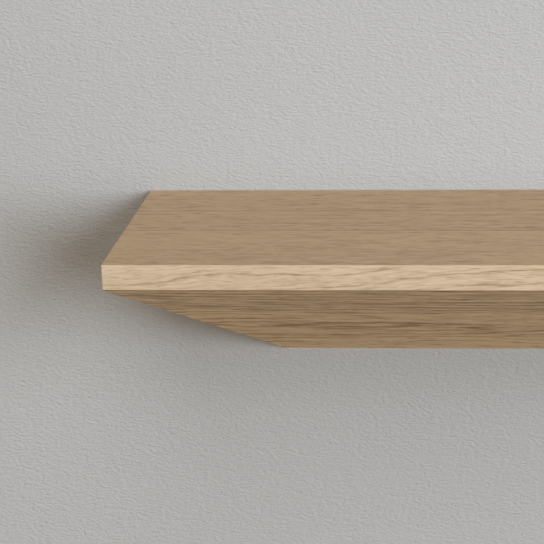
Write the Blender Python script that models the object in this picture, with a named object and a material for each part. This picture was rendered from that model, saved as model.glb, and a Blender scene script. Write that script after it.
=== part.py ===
"""Oak wall shelf: a board on a hollow body whose front and ends slope back to the wall.

Metres, +Z up. X runs along the shelf, the wall is the plane y = 0 and the shelf's front faces -Y.
The origin is the middle of the wall rail's back face.
"""
import math

import bmesh
import bpy
from mathutils import Matrix, Vector

# Outside of the shelf
LENGTH = 1.000          # board, end to end
DEPTH = 0.200           # board, wall to front edge
BOARD = 0.020           # board thickness
END_INSET = 0.102       # from the board's end to the foot of the hip at the wall
DROP = 0.111            # from the board's underside to the bottom edge at the wall
PANEL = 0.012           # sloped panels, thickness
ARRIS = 0.0006          # sharp edges taken off the board

# Inside
GAP = 0.0003            # left between pieces that touch
RIB = 0.012             # plywood thickness
RIB_COUNT = 4
RIB_EDGE_ROOM = 0.024   # from the lowest inside corner to the outer rib's middle
STRIP_LEG = 0.026       # glue strip, along the board
HIP_LEG = 0.020         # hip block, away from the hip
HIP_ROOM = 0.006        # from a hip block to the end of a glue strip

# Rails
RAIL = 0.015            # thickness of all three rails
BEVEL_ANGLE = math.radians(45)
HANGING_HEIGHT = 0.031  # hanging rail at its back face
WALL_RAIL_HEIGHT = 0.024  # wall rail at its back face
LIFT = 0.018            # travel that takes the shelf off its wall rail
LIFT_ROOM = 0.002       # left over at the end of that travel
RAIL_END_ROOM = 0.005   # from a rail's end to the end panel
WALL_HOLES = 4
WALL_HOLE_PITCH = 0.250
WALL_HOLE_BORE = 0.005
WALL_HOLE_HEAD = 0.010

# Dowels
DOWEL = 0.006
DOWEL_IN_BOARD = 0.010
DOWEL_IN_RIB = 0.011
DOWEL_CHAMFER = 0.0008
DOWEL_PLACE_SHARES = (0.32, 0.64)   # of the depth, from the wall

# Screws
SCREW = 0.0038          # shank
SCREW_HEAD = 0.0072
SCREW_BITE = 0.018      # in the rib, behind the hanging rail
SCREW_EDGE = 0.0048     # lower screws, below the lower rail's top
LOWER_BITE_SHARE = 0.8  # lower screws, of the rib's depth at their height
HEAD_RIM = 0.0004
SOCKET = 0.0026
SOCKET_DEPTH = 0.0014
POINT = 0.004
POINT_TIP = 0.0008

OVERRUN = 0.010         # how far blanks and cutters run past what they cut
ROUND_SIDES = 16

# Heights and slopes that follow
RAIL_RISE = RAIL * math.tan(BEVEL_ANGLE)
BEVEL_GAP = GAP / math.cos(BEVEL_ANGLE)
RAIL_TOP_DROP = BOARD + GAP
RAIL_BACK_DROP = RAIL_TOP_DROP + HANGING_HEIGHT + BEVEL_GAP
TOP = RAIL_BACK_DROP + WALL_RAIL_HEIGHT / 2
UNDER = TOP - BOARD
FOOT = UNDER - DROP
HALF = LENGTH / 2
RAIL_FOOT = -WALL_RAIL_HEIGHT / 2
LOWER_TOP = RAIL_FOOT - LIFT - LIFT_ROOM
FRONT_SLOPE = math.atan2(DROP, DEPTH)
END_SLOPE = math.atan2(DROP, END_INSET)
FRONT_NORMAL = Vector((0, -math.sin(FRONT_SLOPE), -math.cos(FRONT_SLOPE)))
RIGHT_NORMAL = Vector((math.sin(END_SLOPE), 0, -math.cos(END_SLOPE)))
LEFT_NORMAL = Vector((-RIGHT_NORMAL.x, 0, RIGHT_NORMAL.z))


def inner_depth(z, back=PANEL + GAP):
    """Distance from the wall to the front panel's inside at height z."""
    return (z - FOOT - back / math.cos(FRONT_SLOPE)) * DEPTH / DROP


def inner_half(z, back=PANEL + GAP):
    """Half the width between the end panels' insides at height z."""
    foot_half = HALF - END_INSET
    return foot_half + (z - FOOT - back / math.cos(END_SLOPE)) * END_INSET / DROP


def material(name, colour, roughness, metallic=0.0):
    made = bpy.data.materials.new(name)
    made.use_nodes = True
    shader = made.node_tree.nodes["Principled BSDF"]
    shader.inputs["Base Color"].default_value = (*colour, 1)
    shader.inputs["Roughness"].default_value = roughness
    shader.inputs["Metallic"].default_value = metallic
    made.diffuse_color = (*colour, 1)
    return made


def add_object(name, bm, finish=None):
    """Turn a bmesh into a named object; one without a finish only cuts."""
    bmesh.ops.recalc_face_normals(bm, faces=bm.faces)
    mesh = bpy.data.meshes.new(name)
    bm.to_mesh(mesh)
    bm.free()
    thing = bpy.data.objects.new(name, mesh)
    bpy.context.scene.collection.objects.link(thing)
    if finish is None:
        thing.hide_render = True
        thing.display_type = "WIRE"
    else:
        mesh.materials.append(finish)
    return thing


def drill(target, cutter):
    """Cut the cutter's shape out of the target."""
    cut = target.modifiers.new("drilling", "BOOLEAN")
    cut.operation = "DIFFERENCE"
    cut.solver = "EXACT"
    cut.object = cutter


def blank(low, high):
    """A squared-up piece of timber between two corners."""
    bm = bmesh.new()
    bmesh.ops.create_cube(bm, size=1)
    low = Vector(low)
    high = Vector(high)
    for vert in bm.verts:
        share = vert.co + Vector((0.5, 0.5, 0.5))
        vert.co = Vector(low[i] + share[i] * (high[i] - low[i]) for i in range(len(low)))
    return bm


def saw(bm, point, outward):
    """Saw a convex piece through a point and keep the side behind the outward normal."""
    geom = list(bm.verts) + list(bm.edges) + list(bm.faces)
    bmesh.ops.bisect_plane(bm, geom=geom, plane_co=point, plane_no=outward, clear_outer=True)
    rim = [edge for edge in bm.edges if edge.is_boundary]
    bmesh.ops.edgeloop_fill(bm, edges=rim)


def turned(bm, profile, start, axis):
    """Turn a profile of (radius, way along the axis) into a closed round body."""
    turn = axis.to_track_quat("Z", "Y").to_matrix().to_4x4()
    place = Matrix.Translation(start) @ turn
    rings = []
    for radius, along in profile:
        ring = []
        for step in range(ROUND_SIDES):
            angle = 2 * math.pi * step / ROUND_SIDES
            spot = Vector((radius * math.cos(angle), radius * math.sin(angle), along))
            ring.append(bm.verts.new(place @ spot))
        rings.append(ring)
    for near, far in zip(rings, rings[1:]):
        for step in range(ROUND_SIDES):
            after = (step + 1) % ROUND_SIDES
            bm.faces.new((near[step], near[after], far[after], far[step]))
    bm.faces.new(list(reversed(rings[0])))
    bm.faces.new(rings[-1])
    return bm


def smooth(thing):
    thing.data.shade_smooth()
    thing.data.set_sharp_from_angle(angle=math.radians(40))


# The sawn joints between the sloped panels

def on_plane(normal, back):
    """A point on an outer face's plane, moved inwards by back; all outer faces pass the board's arris."""
    corner = Vector((math.copysign(HALF, normal.x) if normal.x else 0, -DEPTH, UNDER))
    return corner - normal * back


def hip_frame(side_normal):
    """A point on the hip, the hip's direction, and the mitre's normal towards the end panel."""
    along = FRONT_NORMAL.cross(side_normal).normalized()
    if along.z > 0:
        along.negate()
    inwards = -(FRONT_NORMAL + side_normal).normalized()
    mitre = along.cross(inwards).normalized()
    if mitre.dot(side_normal) < 0:
        mitre.negate()
    return on_plane(side_normal, 0), along, mitre


def panel_blank():
    low = (-HALF - OVERRUN, -DEPTH - OVERRUN, FOOT - OVERRUN)
    high = (HALF + OVERRUN, OVERRUN, UNDER + OVERRUN)
    return blank(low, high)


def saw_to_wall_and_board(bm):
    saw(bm, Vector((0, 0, 0)), Vector((0, 1, 0)))
    saw(bm, Vector((0, 0, UNDER - GAP)), Vector((0, 0, 1)))


def front_panel(finish):
    bm = panel_blank()
    saw(bm, on_plane(FRONT_NORMAL, 0), FRONT_NORMAL)
    saw(bm, on_plane(FRONT_NORMAL, PANEL), -FRONT_NORMAL)
    saw_to_wall_and_board(bm)
    for side in (LEFT_NORMAL, RIGHT_NORMAL):
        hip, _, mitre = hip_frame(side)
        saw(bm, hip - mitre * GAP / 2, mitre)
    return add_object("front_panel", bm, finish)


def end_panel(name, side, finish):
    bm = panel_blank()
    saw(bm, on_plane(side, 0), side)
    saw(bm, on_plane(side, PANEL), -side)
    saw_to_wall_and_board(bm)
    hip, _, mitre = hip_frame(side)
    saw(bm, hip + mitre * GAP / 2, -mitre)
    return add_object(name, bm, finish)


def hip_block(name, side, finish):
    """Glue block along the inside of a hip, from the board to the lower rail."""
    bm = panel_blank()
    saw(bm, on_plane(FRONT_NORMAL, PANEL + GAP), FRONT_NORMAL)
    saw(bm, on_plane(side, PANEL + GAP), side)
    across = -(FRONT_NORMAL + side).normalized()
    hip, _, _ = hip_frame(side)
    half_angle = math.acos(across.dot(-side))
    inner_hip = hip + across * ((PANEL + GAP) / math.cos(half_angle))
    saw(bm, inner_hip + across * HIP_LEG * math.sin(half_angle) / 2, across)
    saw(bm, Vector((0, -RAIL - GAP, 0)), Vector((0, 1, 0)))
    saw(bm, Vector((0, 0, UNDER - GAP)), Vector((0, 0, 1)))
    return add_object(name, bm, finish)


# Ribs, with the dowels that tie them to the board

RIB_SPAN = inner_half(FOOT + PANEL / math.cos(END_SLOPE)) - RIB_EDGE_ROOM
RIB_PLACES = [RIB_SPAN * (2 * i / (RIB_COUNT - 1) - 1) for i in range(RIB_COUNT)]
DOWEL_PLACES = [(x, -DEPTH * share) for x in RIB_PLACES for share in DOWEL_PLACE_SHARES]
DOWEL_END_ROOM = 3 * GAP
RAIL_SCREW_Z = UNDER - GAP - (HANGING_HEIGHT - RAIL_RISE) / 2
LOWER_SCREW_Z = LOWER_TOP - SCREW_EDGE
BORE_EDGE_Z = LOWER_SCREW_Z - SCREW / 2 - GAP
LOWER_BITE = (inner_depth(BORE_EDGE_Z) - RAIL) * LOWER_BITE_SHARE


def rib(name, x, finish):
    """A triangular rib behind the front panel, cut back for the rails."""
    back = -RAIL - GAP
    low = (x - RIB / 2, -DEPTH, FOOT)
    high = (x + RIB / 2, back, UNDER - GAP)
    bm = blank(low, high)
    saw(bm, on_plane(FRONT_NORMAL, PANEL + GAP), FRONT_NORMAL)
    made = add_object(name, bm, finish)
    cutter = bmesh.new()
    for dowel_x, dowel_y in DOWEL_PLACES:
        if dowel_x == x:
            bore(cutter, Vector((x, dowel_y, UNDER + OVERRUN)), Vector((0, 0, -1)), DOWEL,
                 OVERRUN + DOWEL_IN_RIB + DOWEL_END_ROOM)
    for z, bite in ((RAIL_SCREW_Z, SCREW_BITE), (LOWER_SCREW_Z, LOWER_BITE)):
        bore(cutter, Vector((x, -RAIL + OVERRUN, z)), Vector((0, -1, 0)), SCREW,
             OVERRUN + bite + GAP)
    drill(made, add_object(name + "_bores", cutter))
    return made


def bore(bm, start, axis, width, length):
    """A round hole for a piece of this width."""
    radius = width / 2 + GAP
    return turned(bm, [(radius, 0), (radius, length)], start, axis)


def sunk_bore(bm, start, axis, width, head, length):
    """A round hole with a countersink at its start."""
    radius = width / 2 + GAP
    rim = head / 2 + GAP
    profile = [(rim, -OVERRUN), (rim, HEAD_RIM), (radius, HEAD_RIM + rim - radius), (radius, length)]
    return turned(bm, profile, start, axis)


def dowel(name, x, y, finish):
    radius = DOWEL / 2
    end = radius - DOWEL_CHAMFER
    length = DOWEL_IN_BOARD + DOWEL_IN_RIB
    profile = [(end, 0), (radius, DOWEL_CHAMFER), (radius, length - DOWEL_CHAMFER), (end, length)]
    start = Vector((x, y, UNDER + DOWEL_IN_BOARD))
    made = add_object(name, turned(bmesh.new(), profile, start, Vector((0, 0, -1))), finish)
    smooth(made)


def screw(name, x, z, bite, finish):
    """A countersunk screw driven through a rail from the wall side into a rib."""
    shank = SCREW / 2
    head = SCREW_HEAD / 2
    length = RAIL + bite
    profile = [
        (SOCKET / 2, SOCKET_DEPTH),
        (SOCKET / 2, 0),
        (head, 0),
        (head, HEAD_RIM),
        (shank, HEAD_RIM + head - shank),
        (shank, length - POINT),
        (POINT_TIP / 2, length),
    ]
    start = Vector((x, -GAP, z))
    made = add_object(name, turned(bmesh.new(), profile, start, Vector((0, -1, 0))), finish)
    smooth(made)


def board(finish):
    bm = blank((-HALF, -DEPTH, UNDER), (HALF, 0, TOP))
    made = add_object("top_board", bm, finish)
    eased = made.modifiers.new("arrises", "BEVEL")
    eased.width = ARRIS
    eased.segments = 2
    eased.limit_method = "ANGLE"
    cutter = bmesh.new()
    for x, y in DOWEL_PLACES:
        start = Vector((x, y, UNDER - OVERRUN))
        bore(cutter, start, Vector((0, 0, 1)), DOWEL, OVERRUN + DOWEL_IN_BOARD + DOWEL_END_ROOM)
    drill(made, add_object("top_board_bores", cutter))


# Rails

HANGING_HALF = inner_half(UNDER - GAP - HANGING_HEIGHT) - RAIL_END_ROOM
WALL_HALF = inner_half(RAIL_FOOT - LIFT) - RAIL_END_ROOM
BEVEL_NORMAL = Vector((0, math.sin(BEVEL_ANGLE), math.cos(BEVEL_ANGLE)))


def hanging_rail(finish):
    """Upper half of the rail pair: its lower edge runs down to the wall and hooks behind the other."""
    back_foot = UNDER - GAP - HANGING_HEIGHT
    bm = blank((-HANGING_HALF, -RAIL, back_foot), (HANGING_HALF, 0, UNDER - GAP))
    saw(bm, Vector((0, 0, back_foot)), -BEVEL_NORMAL)
    made = add_object("hanging_rail", bm, finish)
    cutter = bmesh.new()
    for x in RIB_PLACES:
        start = Vector((x, -GAP, RAIL_SCREW_Z))
        sunk_bore(cutter, start, Vector((0, -1, 0)), SCREW, SCREW_HEAD, RAIL + OVERRUN)
    drill(made, add_object("hanging_rail_bores", cutter))


def wall_rail(finish):
    """Lower half of the rail pair, with countersunk holes for wall screws."""
    back_top = WALL_RAIL_HEIGHT / 2
    bm = blank((-WALL_HALF, -RAIL, RAIL_FOOT), (WALL_HALF, 0, back_top + RAIL_RISE))
    saw(bm, Vector((0, 0, back_top)), BEVEL_NORMAL)
    made = add_object("wall_rail", bm, finish)
    cutter = bmesh.new()
    for i in range(WALL_HOLES):
        x = WALL_HOLE_PITCH * (i - (WALL_HOLES - 1) / 2)
        start = Vector((x, -RAIL, 0))
        sunk_bore(cutter, start, Vector((0, 1, 0)), WALL_HOLE_BORE, WALL_HOLE_HEAD, RAIL + OVERRUN)
    drill(made, add_object("wall_rail_bores", cutter))


def lower_rail(finish):
    """Batten along the bottom edge, bevelled to the sloped panels, bearing on the wall."""
    bm = blank((-HALF, -RAIL, FOOT), (HALF, 0, LOWER_TOP))
    for normal in (FRONT_NORMAL, LEFT_NORMAL, RIGHT_NORMAL):
        saw(bm, on_plane(normal, PANEL + GAP), normal)
    made = add_object("lower_rail", bm, finish)
    cutter = bmesh.new()
    for x in RIB_PLACES:
        start = Vector((x, -GAP, LOWER_SCREW_Z))
        sunk_bore(cutter, start, Vector((0, -1, 0)), SCREW, SCREW_HEAD, RAIL + OVERRUN)
    drill(made, add_object("lower_rail_bores", cutter))


# Glue strips behind the board's front edge, one in each bay

STRIP_FRONT = -inner_depth(UNDER - GAP)
STRIP_BACK = STRIP_FRONT + STRIP_LEG
STRIP_FOOT = UNDER - GAP - STRIP_LEG * DROP / DEPTH


def front_strip(name, start, end, finish):
    bm = blank((start, -DEPTH, FOOT), (end, STRIP_BACK, UNDER - GAP))
    saw(bm, on_plane(FRONT_NORMAL, PANEL + GAP), FRONT_NORMAL)
    add_object(name, bm, finish)


def bays():
    """Start and end of each bay between the ribs, and between the outer ribs and the hip blocks."""
    outer = inner_half(STRIP_FOOT) - HIP_LEG - HIP_ROOM
    walls = [x + side * (RIB / 2 + GAP) for x in RIB_PLACES for side in (-1, 1)]
    marks = [-outer] + walls + [outer]
    return list(zip(marks[0::2], marks[1::2]))


def main():
    for old in list(bpy.data.objects):
        bpy.data.objects.remove(old)
    oak_top = material("oak_top", (0.363, 0.262, 0.171), 0.55)
    oak_panel = material("oak_panel", (0.266, 0.181, 0.107), 0.6)
    plywood = material("plywood", (0.50, 0.38, 0.25), 0.7)
    pine = material("pine", (0.58, 0.43, 0.26), 0.7)
    beech = material("beech", (0.56, 0.38, 0.24), 0.6)
    steel = material("zinc_plated_steel", (0.62, 0.60, 0.55), 0.35, 1.0)

    board(oak_top)
    front_panel(oak_panel)
    end_panel("left_end_panel", LEFT_NORMAL, oak_panel)
    end_panel("right_end_panel", RIGHT_NORMAL, oak_panel)
    hip_block("left_hip_block", LEFT_NORMAL, pine)
    hip_block("right_hip_block", RIGHT_NORMAL, pine)
    hanging_rail(beech)
    wall_rail(beech)
    lower_rail(beech)
    for number, (start, end) in enumerate(bays(), 1):
        front_strip(f"front_strip_{number}", start, end, pine)
    for number, (x, y) in enumerate(DOWEL_PLACES, 1):
        dowel(f"dowel_{number}", x, y, beech)
    for number, x in enumerate(RIB_PLACES, 1):
        rib(f"rib_{number}", x, plywood)
        screw(f"rail_screw_{number}", x, RAIL_SCREW_Z, SCREW_BITE, steel)
        screw(f"lower_screw_{number}", x, LOWER_SCREW_Z, LOWER_BITE, steel)


main()
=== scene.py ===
import math

import bpy
import numpy as np
from mathutils import Matrix, Vector


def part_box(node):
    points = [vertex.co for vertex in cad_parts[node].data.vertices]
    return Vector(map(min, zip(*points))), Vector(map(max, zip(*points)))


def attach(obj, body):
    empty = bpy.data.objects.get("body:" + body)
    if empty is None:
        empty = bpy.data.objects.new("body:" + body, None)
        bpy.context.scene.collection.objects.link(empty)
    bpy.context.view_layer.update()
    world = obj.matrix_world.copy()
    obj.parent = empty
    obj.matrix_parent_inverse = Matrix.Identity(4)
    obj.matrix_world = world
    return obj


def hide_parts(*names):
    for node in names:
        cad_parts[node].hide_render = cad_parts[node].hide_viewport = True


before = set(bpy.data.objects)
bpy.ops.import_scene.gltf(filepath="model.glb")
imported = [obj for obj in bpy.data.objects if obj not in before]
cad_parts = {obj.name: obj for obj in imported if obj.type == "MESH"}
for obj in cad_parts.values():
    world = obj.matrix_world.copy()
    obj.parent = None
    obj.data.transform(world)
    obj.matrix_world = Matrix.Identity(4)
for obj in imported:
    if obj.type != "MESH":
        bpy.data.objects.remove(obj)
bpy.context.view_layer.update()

# Places read from the frame
BOARD_LOW, BOARD_HIGH = (Vector(corner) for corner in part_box("top_board"))
TOP = BOARD_HIGH.z
UNDER = BOARD_LOW.z
FOOT = Vector(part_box("front_panel")[0]).z
HALF = BOARD_HIGH.x
DEPTH = -BOARD_LOW.y
END_FOOT = Vector(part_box("left_end_panel")[1]).x

# Directions: along the shelf, towards the wall and up
ALONG = Vector((1, 0, 0))
INWARD = Vector((0, 1, 0))
UP = Vector((0, 0, 1))

# The camera: a long lens, placed where the shelf's edges fall on the photograph's, and rolled so that
# the board's long edges are level
CAMERA_PLACE = Vector((0.28360, -3.72663, TOP + 1.09624))
CAMERA_YAW = math.radians(10.484)
CAMERA_PITCH = math.radians(17.073)
CAMERA_ROLL = math.radians(-3.077)
SENSOR = 36.0
FOCAL_PIXELS = 5000
FRAME_PIXELS = 544

# Edge-glued staves: their joints, and the line over the middle of the tree, as shares of the board's
# depth from its front and of a sloped panel's width from its top
BOARD_JOINT_SHARES = (0.45, 0.71)
PANEL_JOINT_SHARES = (0.36, 0.78)
BOARD_HEART_SHARE = 1.60
PANEL_HEART_SHARE = 0.66

# Glue lines between staves and the pale edge beside each: how far from its middle each begins to fade
# and has faded away, and how far the pale edge's middle lies from the glue line's
GLUE_LINE = (0.0003, 0.0012)
PALE_EDGE = (0.0006, 0.0022)
PALE_EDGE_BESIDE = 0.0026
GLUE_TONE = 0.50
PALE_EDGE_TONE = 0.55

# Noises in the wood, each as turns in a metre along the grain and twice across it, octaves, roughness
SWAY = ((2.6, 6.0, 6.0), 2.0, 0.45)
RIPPLE = ((9.0, 55.0, 55.0), 3.0, 0.60)
PORES = ((75.0, 1300.0, 1300.0), 1.0, 0.40)
STREAKS = ((20.0, 170.0, 170.0), 3.0, 0.60)
FIBRES = ((70.0, 1000.0, 1000.0), 2.0, 0.60)
CLOUDS = ((2.4, 24.0, 24.0), 3.0, 0.55)
FLECKS = ((80.0, 800.0, 800.0), 1.0, 0.50)
BEECH_DASHES = ((360.0, 2200.0, 2200.0), 0.0, 0.0)
PLANE_MARKS = ((160.0, 4.0, 4.0), 1.0, 0.30)
PLY_FUZZ = ((300.0, 900.0, 900.0), 3.0, 0.60)
# The ragged rim of the board's paler arrises, which are partly wear and partly a painted highlight
RAGGED_WEAR_AND_HIGHLIGHT_NOISE = ((60.0, 60.0, 60.0), 3.0, 0.60)

# Noises on steel and on the room's surfaces, in the same way
PLATING_MOTTLE = ((700.0, 700.0, 700.0), 3.0, 0.60)
PLATING_STAIN = ((190.0, 190.0, 190.0), 2.0, 0.50)
WALL_SHADE = ((2.0, 2.0, 2.0), 2.0, 0.50)

# Noise values between which a mark grows from nothing to its full tone
PORE_RANGE = (0.56, 0.68)
STREAK_RANGE = (0.44, 0.74)
FLECK_RANGE = (0.57, 0.72)
DASH_RANGE = (0.66, 0.76)
FUZZ_RANGE = (0.20, 0.60)
STAIN_RANGE = (0.35, 0.70)
MIDDLE_RANGE = (0.30, 0.70)

# How squarely a face has to look along the grain, across the plies or across the board to count as an
# end, as plywood's face or as the board's long edge
END_RANGE = (0.80, 0.97)
PLY_FACE_RANGE = (0.5, 0.9)
LONG_EDGE_RANGE = (0.6, 0.8)

# Metres of the tree from which the staves are drawn, and how far their hearts and the rings stray
STAVE_SPREAD = (9.0, 0.9, 0.9)
HEART_SPREAD = 0.04
SWAY_ACROSS = 0.030

# The share of a ring where the next one's early wood begins, and the pores' strength in late wood
EARLY_START_SHARE = 0.93
LATE_PORES = 0.30

# How dark the marks are
CLOUD_TONE = 0.9
STAVE_TONE = 0.18
FLECK_TONE = 0.42
PORE_TONE = 0.80
END_TONE = 0.35

# Roughness of planed wood, what early wood, pores and ends add to it, and oak's gloss
PLANED_ROUGHNESS = 0.46
EARLY_ROUGHNESS = 0.10
PORE_ROUGHNESS = 0.22
OAK_GLOSS = 0.35

# Depths of relief in metres, and the shares of them that the marks sink or stand out
OAK_RELIEF = 0.00012
PLY_RELIEF = 0.0001
SAWN_RELIEF = 0.00015
STEEL_RELIEF = 0.00002
EARLY_DEPTH = 0.25
FIBRE_DEPTH = 0.25
GLUE_DEPTH = 0.5
PLANE_MARK_DEPTH = 0.35

# The board's worn arrises, whose paler tone is partly wear and partly a painted highlight
ARRIS_WIDTH = (0.0004, 0.0016)
ARRIS_RAGGED = 0.0014
ARRIS_PAINTED_HIGHLIGHT_AND_WEAR_TONE = 0.30
ARRIS_POLISH = 0.08


def colour4(red, green, blue):
    return (red, green, blue, 1.0)


OAK_PORE = colour4(0.150, 0.094, 0.052)

# The looks, each as values for the timber group
TOP_LOOK = {
    "Seed": 4.0, "Pith depth": 0.085, "Wander": 0.030, "Ring": 0.0030, "Figure": 0.20,
    "Streaks": 0.60, "Fibres": 2.6, "Pores": 0.9, "Pore colour": OAK_PORE,
    "Pale": colour4(0.517, 0.386, 0.246), "Dark": colour4(0.342, 0.234, 0.134),
}
# The panels' pale tone is set well above the board's: painted light that makes up for the shade they lie in
# under the board
PANEL_LOOK = {
    "Seed": 11.0, "Pith depth": 0.045, "Wander": 0.120, "Ring": 0.0090, "Line width": 0.26,
    "Figure": 0.55, "Ripple": 1.5, "Streaks": 0.80, "Fibres": 2.0, "Stave fade": 0.19,
    "Pores": 1.3, "Pore colour": OAK_PORE,
    "Pale": colour4(0.800, 0.608, 0.362), "Dark": colour4(0.320, 0.198, 0.086),
}
EDGE_LOOK = {
    "Seed": 4.0, "Middle": 0.09, "Pith depth": 0.30, "Wander": 0.024, "Ring": 0.0032,
    "Line width": 0.18, "Figure": 0.42, "Ripple": 1.4, "Streaks": 0.18, "Fibres": 1.2,
    "Pores": 0.8, "Pore colour": OAK_PORE,
    "Pale": colour4(0.550, 0.440, 0.313), "Dark": colour4(0.300, 0.211, 0.127),
}
PLY_LOOK = {
    "Ring": 0.006, "Figure": 0.30, "Streaks": 0.35, "Pores": 0.12,
    "Pale": colour4(0.62, 0.49, 0.33), "Dark": colour4(0.44, 0.31, 0.18),
    "Pore colour": colour4(0.28, 0.17, 0.09),
}
BEECH_LOOK = {
    "Pith depth": 0.11, "Ring": 0.004, "Figure": 0.22, "Streaks": 0.30, "Pores": 0.10,
    "Pale": colour4(0.60, 0.41, 0.26), "Dark": colour4(0.47, 0.30, 0.18),
    "Pore colour": colour4(0.26, 0.14, 0.07),
}
PINE_LOOK = {
    "Pith depth": 0.06, "Ring": 0.0035, "Figure": 0.75, "Streaks": 0.20, "Pores": 0.0,
    "Pale": colour4(0.70, 0.54, 0.34), "Dark": colour4(0.54, 0.34, 0.16),
    "Pore colour": colour4(0.34, 0.19, 0.09),
}
END_PANEL_SEED = 17.0
PLY_SEED = 31.0
BEECH_SEED = 41.0
PINE_SEED = 53.0
BEECH_DASH_TONE = 0.60
SAWN_ROUGHNESS = 0.12

# The board's long edges: how steeply the rings climb, and how often and how far they bend
EDGE_RISE = 0.05
EDGE_BENDS = ((4.0, 0.0, 0.0), 1.0, 0.50)
EDGE_SWING = 0.018

# Plywood's edges
CROSSED_PLY = colour4(0.30, 0.19, 0.10)
PLY_GLUE = colour4(0.14, 0.075, 0.04)
PLY_GLUE_RANGE = (0.42, 0.48)
PLY_GLUE_TONE = 0.6
PLY_EDGE_ROUGHNESS = 0.15

# Zinc plate
BARE_ZINC = colour4(0.66, 0.64, 0.58)
YELLOW_ZINC = colour4(0.52, 0.47, 0.33)
ZINC_ROUGHNESS = (0.24, 0.44)

# Screws
THREAD_PITCH = 0.0014
THREAD_CORE = 0.0014
THREAD_CREST = 0.0019
THREAD_SHARPNESS = 3.2
HEAD_RADIUS = 0.0036
HEAD_RIM = 0.0004
TIP_RADIUS = 0.0002
TIP_LENGTH = 0.004
CROSS_ARM = 0.0019
CROSS_HALF_WIDTH = 0.00042
CROSS_FOOT_SHARE = 1.5
CROSS_SLOPE = CROSS_ARM / 4
CROSS_DEPTH = 0.0014
SHARP_ANGLE = math.radians(38)

# The room around the shelf. Rays shorter than the contact reach pass through its wall and floor
WALL_GAP = 0.0015
CONTACT_REACH = 0.008
WALL_HALF_WIDTH = 2.2
WALL_ABOVE = 1.6
FLOOR_DROP = 1.1
FLOOR_REACH = 2.8
RIM_SHARE = 0.65
PLASTER = colour4(0.423, 0.434, 0.438)
PLASTER_GRIT = ((340.0, 340.0, 680.0), 3.0, 0.60)
PLASTER_RELIEF = 0.0011
PALE_FLOOR = colour4(0.62, 0.63, 0.65)
FLOOR_GRIT = ((60.0, 60.0, 120.0), 3.0, 0.60)
FLOOR_RELIEF = 0.0002
SHADE = colour4(0.30, 0.30, 0.29)
SHADE_TONE = 0.12

# Lamps: name, degrees to the right of the shelf's front, degrees above it, size, watts, colour, and
# whether it shows in reflections
LAMPS = (
    ("key_light", 40, 13, 3.9, 426, (0.93, 1.0, 1.08), False),
    ("fill_light", -35, 25, 3.6, 24, (1.0, 0.80, 0.55), False),
    ("overhead_light", 0, 48, 3.6, 142, (0.98, 1.0, 1.02), True),
    ("back_light", 180, -4, 3.6, 260, (1.0, 0.99, 0.97), False),
)
LAMP_DISTANCE = 6.0
LAMP_TARGET = Vector((0, 0, 0))
GLOW = colour4(1.0, 0.64, 0.30)
GLOW_STRENGTH = 0.235
BACKGROUND = colour4(0.72, 0.72, 0.71)


class Tree:
    """Adds shader nodes and joins them. An input given as a socket is linked, any other value is set."""

    def __init__(self, tree):
        self.tree = tree

    def add(self, kind, inputs=None, **settings):
        node = self.tree.nodes.new("ShaderNode" + kind)
        for name, value in settings.items():
            setattr(node, name, value)
        for key, value in (inputs or {}).items():
            if isinstance(value, bpy.types.NodeSocket):
                self.tree.links.new(value, node.inputs[key])
            else:
                node.inputs[key].default_value = value
        return node

    def maths(self, operation, *values):
        return self.add("Math", dict(enumerate(values)), operation=operation).outputs[0]

    def vector(self, operation, *values):
        node = self.add("VectorMath", dict(enumerate(values)), operation=operation)
        return node.outputs["Value" if operation in ("DOT_PRODUCT", "LENGTH") else "Vector"]

    def centred(self, value):
        return self.maths("SUBTRACT", value, 0.5)

    def fade(self, value, low, high, start=0.0, end=1.0):
        """Go smoothly from start to end as the value goes from low to high."""
        inputs = {"Value": value, "From Min": low, "From Max": high, "To Min": start, "To Max": end}
        return self.add("MapRange", inputs, interpolation_type="SMOOTHSTEP").outputs[0]

    def noise(self, place, turns, octaves, roughness):
        """Noise that turns as often in a metre as each of the three numbers in turns says."""
        scaled = self.vector("MULTIPLY", place, turns)
        inputs = {"Vector": scaled, "Scale": 1.0, "Detail": octaves, "Roughness": roughness}
        return self.add("TexNoise", inputs).outputs[0]

    def mix(self, share, first, second):
        return self.add("Mix", {0: share, 6: first, 7: second}, data_type="RGBA").outputs[2]

    def place(self):
        return self.add("TexCoord").outputs["Object"]

    def turned(self, axis):
        """How much the face turns towards an axis, either way."""
        facing = self.vector("ABSOLUTE", self.add("TexCoord").outputs["Normal"])
        return self.add("SeparateXYZ", {0: facing}).outputs[axis]

    def group(self, group, inputs):
        return self.add("Group", inputs, node_tree=group).outputs


def shade_group(name, inputs, outputs, build):
    """A node group: inputs are (name, kind, value), outputs (name, kind), and build fills it."""
    group = bpy.data.node_groups.new(name, "ShaderNodeTree")
    for label, kind, value in inputs:
        made = group.interface.new_socket(label, in_out="INPUT", socket_type="NodeSocket" + kind)
        made.default_value = value
    for label, kind in outputs:
        group.interface.new_socket(label, in_out="OUTPUT", socket_type="NodeSocket" + kind)
    results = build(Tree(group), group.nodes.new("NodeGroupInput").outputs)
    taken = group.nodes.new("NodeGroupOutput")
    for label, value in results.items():
        group.links.new(value, taken.inputs[label])
    return group


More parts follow.
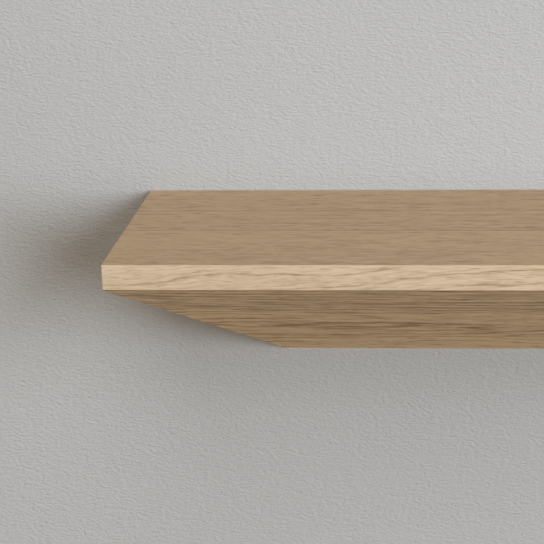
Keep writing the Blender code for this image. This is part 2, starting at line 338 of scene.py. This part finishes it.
def build_staves(n, given):
    """Number of the stave that a place lies in, and masks for the glue lines and their pale edges."""
    first = n.maths("SUBTRACT", given["Across"], given["First joint"])
    second = n.maths("SUBTRACT", given["Across"], given["Second joint"])
    number = n.maths("ADD", n.maths("GREATER_THAN", first, 0.0), n.maths("GREATER_THAN", second, 0.0))
    lines = []
    edges = []
    for away in (first, second):
        lines.append(n.fade(n.maths("ABSOLUTE", away), *GLUE_LINE, 1.0, 0.0))
        beside = n.maths("ABSOLUTE", n.maths("ADD", away, PALE_EDGE_BESIDE))
        edges.append(n.fade(beside, *PALE_EDGE, 1.0, 0.0))
    line = n.maths("MAXIMUM", *lines)
    return {"Stave": number, "Line": line, "Pale edge": n.maths("MAXIMUM", *edges)}


def timber_rings(n, given, spot, stray):
    """Early wood's share at a place. Its distance from the pith, counted in rings, with a noise added,
    leaves a remainder: the early wood is where that is near nothing or near a whole ring."""
    parts = n.add("SeparateXYZ", {0: given["Place"]}).outputs
    sway = n.centred(n.noise(spot, *SWAY))
    side = n.maths("MULTIPLY", n.centred(stray), HEART_SPREAD)
    across = n.maths("SUBTRACT", n.maths("SUBTRACT", parts[1], given["Middle"]), side)
    across = n.maths("ADD", across, n.maths("MULTIPLY", sway, SWAY_ACROSS))
    below = n.maths("ADD", n.maths("ADD", parts[2], given["Pith depth"]),
                    n.maths("MULTIPLY", sway, given["Wander"]))
    squares = n.maths("ADD", n.maths("MULTIPLY", across, across), n.maths("MULTIPLY", below, below))
    rings = n.maths("DIVIDE", n.maths("SQRT", squares), given["Ring"])
    ripple = n.maths("MULTIPLY", n.noise(spot, *RIPPLE), given["Ripple"])
    part = n.maths("FRACT", n.maths("ADD", rings, ripple))
    fading = n.fade(part, 0.0, given["Line width"], 1.0, 0.0)
    return n.maths("ADD", fading, n.fade(part, EARLY_START_SHARE, 1.0))


def build_timber(n, given):
    """Solid timber. Rings lie round a pith below the face and wander along the grain, so one formula
    gives straight lines and pointed arches on the face and arcs on the ends. Long thin dark pores
    sit in each ring's early wood, and broad noise clouds the boards. Each stave is cut from its own
    part of the tree."""
    draw = n.maths("ADD", given["Stave"], given["Seed"])
    dice = n.add("TexWhiteNoise", {"W": draw}, noise_dimensions="1D").outputs["Color"]
    chance = n.add("SeparateColor", {0: dice}).outputs
    spot = n.vector("ADD", given["Place"], n.vector("MULTIPLY", dice, STAVE_SPREAD))
    early = timber_rings(n, given, spot, chance[1])

    pores = n.fade(n.noise(spot, *PORES), *PORE_RANGE)
    crowd = n.maths("MULTIPLY_ADD", early, 1.0 - LATE_PORES, LATE_PORES)
    pores = n.maths("MULTIPLY", n.maths("MULTIPLY", pores, crowd), given["Pores"])
    fibres = n.noise(spot, *FIBRES)

    dark = n.maths("MULTIPLY", early, given["Figure"])
    dark = n.maths("MULTIPLY_ADD", n.fade(n.noise(spot, *STREAKS), *STREAK_RANGE), given["Streaks"], dark)
    dark = n.maths("MULTIPLY_ADD", n.centred(n.noise(spot, *CLOUDS)), CLOUD_TONE, dark)
    dark = n.maths("MULTIPLY_ADD", n.centred(fibres), given["Fibres"], dark)
    dark = n.maths("MULTIPLY_ADD", n.maths("SUBTRACT", 1.0, given["Stave"]), given["Stave fade"], dark)
    dark = n.maths("ADD", dark, n.maths("MULTIPLY", chance[2], STAVE_TONE))
    colour = n.mix(n.add("Clamp", {0: dark}).outputs[0], given["Pale"], given["Dark"])
    flecks = n.fade(n.noise(spot, *FLECKS), *FLECK_RANGE)
    flecks = n.maths("MULTIPLY", flecks, n.maths("MULTIPLY", given["Pores"], FLECK_TONE))
    stains = n.maths("MAXIMUM", n.maths("MULTIPLY", pores, PORE_TONE), flecks)
    colour = n.mix(stains, colour, given["Pore colour"])

    facing = n.vector("DOT_PRODUCT", n.add("TexCoord").outputs["Normal"], given["Along"])
    end = n.fade(n.maths("ABSOLUTE", facing), *END_RANGE)
    colour = n.mix(n.maths("MULTIPLY", end, END_TONE), colour, given["Dark"])

    roughness = n.maths("MULTIPLY_ADD", early, EARLY_ROUGHNESS, PLANED_ROUGHNESS)
    roughness = n.maths("MULTIPLY_ADD", n.maths("MAXIMUM", pores, end), PORE_ROUGHNESS, roughness)
    relief = n.maths("MULTIPLY_ADD", fibres, FIBRE_DEPTH, pores)
    relief = n.maths("MULTIPLY_ADD", early, EARLY_DEPTH, relief)
    return {"Colour": colour, "Roughness": roughness, "Height": n.maths("SUBTRACT", 1.0, relief)}


def build_arris(n, given):
    """Mask along the edges of a squared board: the two smallest of a place's distances to the
    faces, added up, are near nothing only by an edge."""
    away = n.vector("ABSOLUTE", n.vector("SUBTRACT", given["Place"], given["Middle"]))
    room = n.vector("SUBTRACT", given["Half size"], away)
    x, y, z = n.add("SeparateXYZ", {0: room}).outputs
    largest = n.maths("MAXIMUM", n.maths("MAXIMUM", x, y), z)
    near = n.maths("SUBTRACT", n.maths("ADD", n.maths("ADD", x, y), z), largest)
    ragged = n.centred(n.noise(given["Place"], *RAGGED_WEAR_AND_HIGHLIGHT_NOISE))
    near = n.maths("ADD", near, n.maths("MULTIPLY", ragged, ARRIS_RAGGED))
    return {"Mask": n.fade(near, *ARRIS_WIDTH, 1.0, 0.0)}


STAVES = shade_group(
    "staves",
    [("Across", "Float", 0.0), ("First joint", "Float", 0.0), ("Second joint", "Float", 0.0)],
    [("Stave", "Float"), ("Line", "Float"), ("Pale edge", "Float")],
    build_staves,
)
TIMBER = shade_group(
    "timber",
    [("Place", "Vector", (0, 0, 0)), ("Along", "Vector", (1, 0, 0)), ("Stave", "Float", 0.0),
     ("Seed", "Float", 0.0), ("Middle", "Float", 0.0), ("Pith depth", "Float", 0.08),
     ("Wander", "Float", 0.03), ("Ripple", "Float", 1.1), ("Ring", "Float", 0.003),
     ("Line width", "Float", 0.34), ("Stave fade", "Float", 0.0), ("Fibres", "Float", 1.2),
     ("Figure", "Float", 0.5), ("Streaks", "Float", 0.4), ("Pores", "Float", 1.0),
     ("Pale", "Color", (1, 1, 1, 1)), ("Dark", "Color", (0, 0, 0, 1)),
     ("Pore colour", "Color", (0, 0, 0, 1))],
    [("Colour", "Color"), ("Roughness", "Float"), ("Height", "Float")],
    build_timber,
)
ARRIS = shade_group(
    "eased arris",
    [("Place", "Vector", (0, 0, 0)), ("Middle", "Vector", (0, 0, 0)), ("Half size", "Vector", (1, 1, 1))],
    [("Mask", "Float")],
    build_arris,
)


def new_material(name):
    made = bpy.data.materials.new(name)
    made.use_nodes = True
    made.node_tree.nodes.clear()
    return made, Tree(made.node_tree)


def finish_surface(n, colour, roughness, height, relief, **fixed):
    """The surface's own shader, with a bump from the height. Fixed values go on its own sockets."""
    bump = n.add("Bump", {"Height": height, "Strength": 1.0, "Distance": relief})
    inputs = {"Base Color": colour, "Roughness": roughness, "Normal": bump.outputs[0]}
    inputs.update({name.replace("_", " "): value for name, value in fixed.items()})
    shader = n.add("BsdfPrincipled", inputs)
    n.add("OutputMaterial", {"Surface": shader.outputs[0]})


def grain_place(n, corner, along, across, outward):
    """Object coordinates turned to run along the grain, across the face and out of it."""
    spot = n.vector("SUBTRACT", n.place(), tuple(corner))
    parts = [n.vector("DOT_PRODUCT", spot, tuple(axis)) for axis in (along, across, outward)]
    return n.add("CombineXYZ", dict(enumerate(parts))).outputs[0], parts[1]


# Oak, in three glued staves

def long_edge(n, spot):
    """The board's long edges cut the rings at a slant, so the lines climb along the edge."""
    x, y, z = n.add("SeparateXYZ", {0: spot}).outputs
    bend = n.centred(n.noise(spot, *EDGE_BENDS))
    rise = n.maths("MULTIPLY_ADD", x, -EDGE_RISE, z)
    rise = n.maths("MULTIPLY_ADD", bend, EDGE_SWING, rise)
    place = n.add("CombineXYZ", {0: x, 1: rise, 2: y}).outputs[0]
    return n.group(TIMBER, {"Place": place, **EDGE_LOOK})["Colour"]


def staved_oak(n, corner, along, across, outward, width, joint_shares, heart_share, look):
    """Colour, roughness and height of oak in three staves on a face of the given width."""
    place, cross = grain_place(n, corner, along, across, outward)
    first, second = (width * share for share in joint_shares)
    staves = n.group(STAVES, {"Across": cross, "First joint": first, "Second joint": second})
    values = {"Place": place, "Along": tuple(along), "Stave": staves["Stave"], "Middle": width * heart_share}
    wood = n.group(TIMBER, {**values, **look})
    colour = n.mix(n.maths("MULTIPLY", staves["Line"], GLUE_TONE), wood["Colour"], OAK_PORE)
    colour = n.mix(n.maths("MULTIPLY", staves["Pale edge"], PALE_EDGE_TONE), colour, look["Pale"])
    height = n.maths("SUBTRACT", wood["Height"], n.maths("MULTIPLY", staves["Line"], GLUE_DEPTH))
    return colour, wood["Roughness"], height


def oak_board():
    """The flat board, with slanting rings on its long edges and smoother arrises, paler partly from wear and
    partly from a painted highlight.
    """
    made, n = new_material("oiled oak board")
    colour, roughness, height = staved_oak(n, (0, -DEPTH, TOP), ALONG, INWARD, UP, DEPTH,
                                           BOARD_JOINT_SHARES, BOARD_HEART_SHARE, TOP_LOOK)
    spot = n.place()
    colour = n.mix(n.fade(n.turned(1), *LONG_EDGE_RANGE), colour, long_edge(n, spot))
    middle = tuple((BOARD_LOW + BOARD_HIGH) / 2)
    half_size = tuple((BOARD_HIGH - BOARD_LOW) / 2)
    wear_and_highlight_mask = n.group(ARRIS, {"Place": spot, "Middle": middle, "Half size": half_size})["Mask"]
    # Paler arrises: partly wear, partly a painted highlight where the eased edges would catch the light
    colour = n.mix(n.maths("MULTIPLY", wear_and_highlight_mask, ARRIS_PAINTED_HIGHLIGHT_AND_WEAR_TONE), colour, TOP_LOOK["Pale"])
    roughness = n.maths("MULTIPLY_ADD", wear_and_highlight_mask, -ARRIS_POLISH, roughness)
    finish_surface(n, colour, roughness, height, OAK_RELIEF, Specular_IOR_Level=OAK_GLOSS)
    return made


def oak_panel(name, corner, along, across, outward, width, look):
    """A sloped panel, with its staves running along the edge that it hangs from."""
    made, n = new_material(name)
    colour, roughness, height = staved_oak(n, corner, along, across, outward, width,
                                           PANEL_JOINT_SHARES, PANEL_HEART_SHARE, look)
    finish_surface(n, colour, roughness, height, OAK_RELIEF, Specular_IOR_Level=OAK_GLOSS)
    return made


# The hidden timbers

def plywood(name, middle, thickness, plies=9):
    """Birch plywood: crossed plies show as stripes on the edges, long grain on the faces."""
    made, n = new_material(name)
    place, _ = grain_place(n, (middle, 0, 0), UP, INWARD, ALONG)
    wood = n.group(TIMBER, {"Place": place, "Along": tuple(UP), "Seed": PLY_SEED + middle, **PLY_LOOK})
    spot = n.place()
    x = n.add("SeparateXYZ", {0: spot}).outputs[0]
    from_face = n.maths("ADD", n.maths("SUBTRACT", x, middle), thickness / 2)
    ply = n.maths("DIVIDE", from_face, thickness / plies)
    crossed = n.maths("GREATER_THAN", n.maths("MODULO", ply, 2.0), 1.0)
    edge = n.fade(n.turned(0), *PLY_FACE_RANGE, 1.0, 0.0)
    glue = n.fade(n.maths("ABSOLUTE", n.centred(n.maths("FRACT", ply))), *PLY_GLUE_RANGE)
    fuzz = n.fade(n.noise(spot, *PLY_FUZZ), *FUZZ_RANGE)
    stripes = n.maths("MULTIPLY", n.maths("MULTIPLY", crossed, edge), fuzz)
    colour = n.mix(stripes, wood["Colour"], CROSSED_PLY)
    lines = n.maths("MULTIPLY", n.maths("MULTIPLY", glue, edge), PLY_GLUE_TONE)
    colour = n.mix(lines, colour, PLY_GLUE)
    roughness = n.maths("MULTIPLY_ADD", edge, PLY_EDGE_ROUGHNESS, wood["Roughness"])
    finish_surface(n, colour, roughness, wood["Height"], PLY_RELIEF)
    return made


def sawn(name, look, seed, dash_tone):
    """Raw planed timber along the shelf, with beech's short dark dashes where they are wanted."""
    made, n = new_material(name)
    place, _ = grain_place(n, (0, 0, 0), ALONG, UP, -INWARD)
    wood = n.group(TIMBER, {"Place": place, "Seed": seed, **look})
    dashes = n.fade(n.noise(place, *BEECH_DASHES), *DASH_RANGE)
    colour = n.mix(n.maths("MULTIPLY", dashes, dash_tone), wood["Colour"], look["Pore colour"])
    roughness = n.maths("ADD", wood["Roughness"], SAWN_ROUGHNESS)
    height = n.maths("MULTIPLY_ADD", n.noise(place, *PLANE_MARKS), PLANE_MARK_DEPTH, wood["Height"])
    finish_surface(n, colour, roughness, height, SAWN_RELIEF)
    return made


def zinc():
    """Zinc-plated steel with a faint yellow cast and slightly mottled plating."""
    made, n = new_material("zinc plate")
    spot = n.place()
    mottle = n.noise(spot, *PLATING_MOTTLE)
    stain = n.noise(spot, *PLATING_STAIN)
    colour = n.mix(n.fade(stain, *STAIN_RANGE), BARE_ZINC, YELLOW_ZINC)
    roughness = n.fade(mottle, *MIDDLE_RANGE, *ZINC_ROUGHNESS)
    finish_surface(n, colour, roughness, mottle, STEEL_RELIEF, Metallic=1.0)
    return made


# Materials on the frame's nodes

def dress(node, material):
    """Give a node of the frame its material."""
    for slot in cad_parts[node].material_slots:
        slot.link = "OBJECT"
        slot.material = material


def dress_board_and_panels():
    """The grain runs along the board and along each panel's top edge."""
    dress("top_board", oak_board())
    drop = UNDER - FOOT
    across = Vector((0, DEPTH, -drop)).normalized()
    outward = Vector((0, across.z, -across.y))
    # The panels' paler look is painted light against their shade under the board
    front = oak_panel("oiled oak front panel", (0, -DEPTH, UNDER), ALONG, across, outward,
                      math.hypot(DEPTH, drop), PANEL_LOOK)
    dress("front_panel", front)
    run = END_FOOT + HALF
    for name, hand in (("left_end_panel", -1), ("right_end_panel", 1)):
        across = Vector((-hand * run, 0, -drop)).normalized()
        outward = Vector((-hand * across.z, 0, hand * across.x))
        look = {**PANEL_LOOK, "Seed": END_PANEL_SEED + hand}
        end = oak_panel("oiled oak " + name, (hand * HALF, 0, UNDER), INWARD, across, outward,
                        math.hypot(run, drop), look)
        dress(name, end)


def dress_inside():
    beech = sawn("planed beech", BEECH_LOOK, BEECH_SEED, BEECH_DASH_TONE)
    pine = sawn("sawn pine", PINE_LOOK, PINE_SEED, dash_tone=0.0)
    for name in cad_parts:
        if name.endswith("rail") or name.startswith("dowel"):
            dress(name, beech)
        elif "strip" in name or "block" in name:
            dress(name, pine)
        elif name.startswith("rib"):
            low, high = (Vector(corner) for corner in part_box(name))
            dress(name, plywood("birch plywood " + name, (low.x + high.x) / 2, high.x - low.x))


# Screws with a thread and a cross recess

def screw_surface(length, sides=48, head_rings=14, rings_per_pitch=7):
    """Grid of points over one screw: angle t round it, and v from the middle of the head's face out
    to the rim, down the countersink and along the thread. The recess sinks the face inside two
    crossed bars. The thread is a ridge where v over the pitch minus t over a turn is whole."""
    t = np.linspace(0, 2 * np.pi, sides, endpoint=False)[None, :]
    face_radius = np.linspace(0, HEAD_RADIUS, head_rings)[:, None]
    x = face_radius * np.cos(t)
    y = face_radius * np.sin(t)
    arm = np.minimum(np.abs(x), np.abs(y))
    reach = np.maximum(np.abs(x), np.abs(y))
    inside = np.clip((CROSS_HALF_WIDTH * CROSS_FOOT_SHARE - arm) / CROSS_HALF_WIDTH, 0, 1)
    inside = inside * np.clip((CROSS_ARM - reach) / CROSS_SLOPE, 0, 1)
    face = np.stack([x, y, CROSS_DEPTH * inside], axis=-1)

    neck = HEAD_RIM + HEAD_RADIUS - THREAD_CORE
    turns = int((length - neck) / THREAD_PITCH * rings_per_pitch)
    along = np.concatenate([[HEAD_RIM, neck], np.linspace(neck, length, turns)[1:]])[:, None]
    phase = along / THREAD_PITCH - t / (2 * np.pi)
    ridge = np.clip(1 - THREAD_SHARPNESS * np.abs(phase - np.round(phase)), 0, 1)
    taper = np.clip((length - along) / TIP_LENGTH, 0, 1)
    start = np.clip((along - neck) / THREAD_PITCH, 0, 1)
    body = TIP_RADIUS + (THREAD_CORE - TIP_RADIUS) * taper
    radius = body + (THREAD_CREST - THREAD_CORE) * ridge * taper * start
    radius[0] = HEAD_RADIUS
    shaft = np.stack([radius * np.cos(t), radius * np.sin(t), along + 0 * t], axis=-1)
    return np.concatenate([face[1:], shaft]), face[0, 0]


def screw_piece(name, node):
    """A screw in the place of the frame's own, its head to the wall. Rings of points are joined by
    quads, and a fan closes the grid at the middle of the head and at the tip."""
    low, high = (Vector(corner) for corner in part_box(node))
    grid, centre = screw_surface(high.y - low.y)
    rows, sides, _ = grid.shape
    points = np.concatenate([grid.reshape(-1, 3), centre[None], [[0, 0, grid[-1, 0, 2]]]])
    place = np.empty_like(points)
    place[:, 0] = points[:, 0] + (low.x + high.x) / 2
    place[:, 1] = high.y - points[:, 2]
    place[:, 2] = points[:, 1] + (low.z + high.z) / 2
    first = np.arange(rows * sides).reshape(rows, sides)
    after = np.roll(first, -1, axis=1)
    quads = np.stack([first[:-1], after[:-1], after[1:], first[1:]], axis=-1).reshape(-1, 4)
    head = rows * sides
    tip = head + 1
    head_fan = np.stack([np.full(sides, head), after[0], first[0]], axis=-1)
    tip_fan = np.stack([np.full(sides, tip), first[-1], after[-1]], axis=-1)
    mesh = bpy.data.meshes.new(name)
    mesh.from_pydata(place.tolist(), [], quads.tolist() + head_fan.tolist() + tip_fan.tolist())
    mesh.shade_smooth()
    mesh.set_sharp_from_angle(angle=SHARP_ANGLE)
    piece = bpy.data.objects.new(name, mesh)
    bpy.context.scene.collection.objects.link(piece)
    return piece


def fit_screws():
    plate = zinc()
    for node in [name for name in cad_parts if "screw" in name]:
        piece = screw_piece("threaded_" + node, node)
        piece.data.materials.append(plate)
        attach(piece, "shelf")
        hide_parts(node)


# Wall, floor, lamps and camera

def room_surface(name, colour, grit, relief, reach):
    """A material seen only from a sheet's front, so that views from behind pass through it. It
    fades away towards the sheet's rim, into the pale room, and what lies against it, such as a
    screw's head, doesn't reflect it."""
    made, n = new_material(name)
    spot = n.place()
    lumps = n.noise(spot, *grit)
    shaded = n.fade(n.noise(spot, *WALL_SHADE), *MIDDLE_RANGE, 0.0, SHADE_TONE)
    tint = n.mix(shaded, colour, SHADE)
    bump = n.add("Bump", {"Height": lumps, "Strength": 1.0, "Distance": relief})
    plain = n.add("BsdfDiffuse", {"Color": tint, "Normal": bump.outputs[0]})
    clear = n.add("BsdfTransparent")
    faded = n.fade(n.vector("LENGTH", spot), reach * RIM_SHARE, reach)
    hidden = n.maths("MAXIMUM", n.add("NewGeometry").outputs["Backfacing"], faded)
    against = n.maths("LESS_THAN", n.add("LightPath").outputs["Ray Length"], CONTACT_REACH)
    hidden = n.maths("MAXIMUM", hidden, against)
    both = n.add("MixShader", {0: hidden, 1: plain.outputs[0], 2: clear.outputs[0]})
    n.add("OutputMaterial", {"Surface": both.outputs[0]})
    return made


def flat_sheet(name, corners, material):
    """A sheet of the room that casts no shadow and bounces no light onto the shelf."""
    mesh = bpy.data.meshes.new(name)
    mesh.from_pydata(corners, [], [(0, 1, 2, 3)])
    mesh.materials.append(material)
    thing = bpy.data.objects.new(name, mesh)
    bpy.context.scene.collection.objects.link(thing)
    thing.visible_diffuse = False
    thing.visible_shadow = False


def build_room():
    low = TOP - FLOOR_DROP
    high = TOP + WALL_ABOVE
    side = WALL_HALF_WIDTH
    plaster = room_surface("pale plaster", PLASTER, PLASTER_GRIT, PLASTER_RELIEF, WALL_HALF_WIDTH)
    flat_sheet("wall", [(-side, WALL_GAP, low), (side, WALL_GAP, low), (side, WALL_GAP, high),
                        (-side, WALL_GAP, high)], plaster)
    reach = FLOOR_REACH
    boards = room_surface("pale floor", PALE_FLOOR, FLOOR_GRIT, FLOOR_RELIEF, FLOOR_REACH)
    flat_sheet("floor", [(-reach, -reach, low), (reach, -reach, low), (reach, WALL_GAP, low),
                         (-reach, WALL_GAP, low)], boards)


def soft_lamp(name, sideways, above, size, watts, colour, shows):
    """A round lamp that looks at the frame's origin from the given side and height."""
    way = Vector((math.sin(sideways) * math.cos(above), -math.cos(sideways) * math.cos(above),
                  math.sin(above)))
    data = bpy.data.lights.new(name, "AREA")
    data.shape = "DISK"
    data.size = size
    data.energy = watts
    data.color = colour
    lamp = bpy.data.objects.new(name, data)
    lamp.location = LAMP_TARGET + way * LAMP_DISTANCE
    lamp.visible_camera = False
    lamp.visible_glossy = shows
    lamp.rotation_mode = "QUATERNION"
    lamp.rotation_quaternion = (LAMP_TARGET - lamp.location).to_track_quat("-Z", "Y")
    bpy.context.scene.collection.objects.link(lamp)


def light_the_room():
    """A low key from the front right, a weak warm fill from the front left and a soft lamp above
    the front. A lamp behind the wall reaches only the shelf's back, and a warm room lies all round.
    The camera, reflections and clear surfaces see that room as pale."""
    for name, sideways, above, size, watts, colour, shows in LAMPS:
        soft_lamp(name, math.radians(sideways), math.radians(above), size, watts, colour, shows)
    world = bpy.data.worlds.new("room_light")
    world.use_nodes = True
    world.node_tree.nodes.clear()
    n = Tree(world.node_tree)
    path = n.add("LightPath").outputs
    seen = n.maths("MAXIMUM", path["Is Camera Ray"], path["Is Glossy Ray"])
    seen = n.maths("MAXIMUM", seen, path["Is Transmission Ray"])
    glow = n.add("Background", {"Color": GLOW, "Strength": GLOW_STRENGTH})
    back = n.add("Background", {"Color": BACKGROUND, "Strength": 1.0})
    both = n.add("MixShader", {0: seen, 1: glow.outputs[0], 2: back.outputs[0]})
    n.add("OutputWorld", {"Surface": both.outputs[0]})
    bpy.context.scene.world = world


def place_camera():
    """The camera looks left by its yaw and down by its pitch, and then rolls about its own axis."""
    data = bpy.data.cameras.new("camera")
    data.sensor_width = SENSOR
    data.lens = FOCAL_PIXELS / FRAME_PIXELS * SENSOR
    camera = bpy.data.objects.new("camera", data)
    forward = Vector((-math.sin(CAMERA_YAW) * math.cos(CAMERA_PITCH),
                      math.cos(CAMERA_YAW) * math.cos(CAMERA_PITCH), -math.sin(CAMERA_PITCH)))
    right = Vector((math.cos(CAMERA_YAW), math.sin(CAMERA_YAW), 0))
    turn = Matrix((right, right.cross(forward), -forward)).transposed()
    turn = turn @ Matrix.Rotation(CAMERA_ROLL, 3, "Z")
    camera.matrix_world = Matrix.Translation(CAMERA_PLACE) @ turn.to_4x4()
    bpy.context.scene.collection.objects.link(camera)
    bpy.context.scene.camera = camera


bpy.context.scene.view_settings.view_transform = "Standard"
place_camera()
light_the_room()
build_room()
dress_board_and_panels()
dress_inside()
fit_screws()
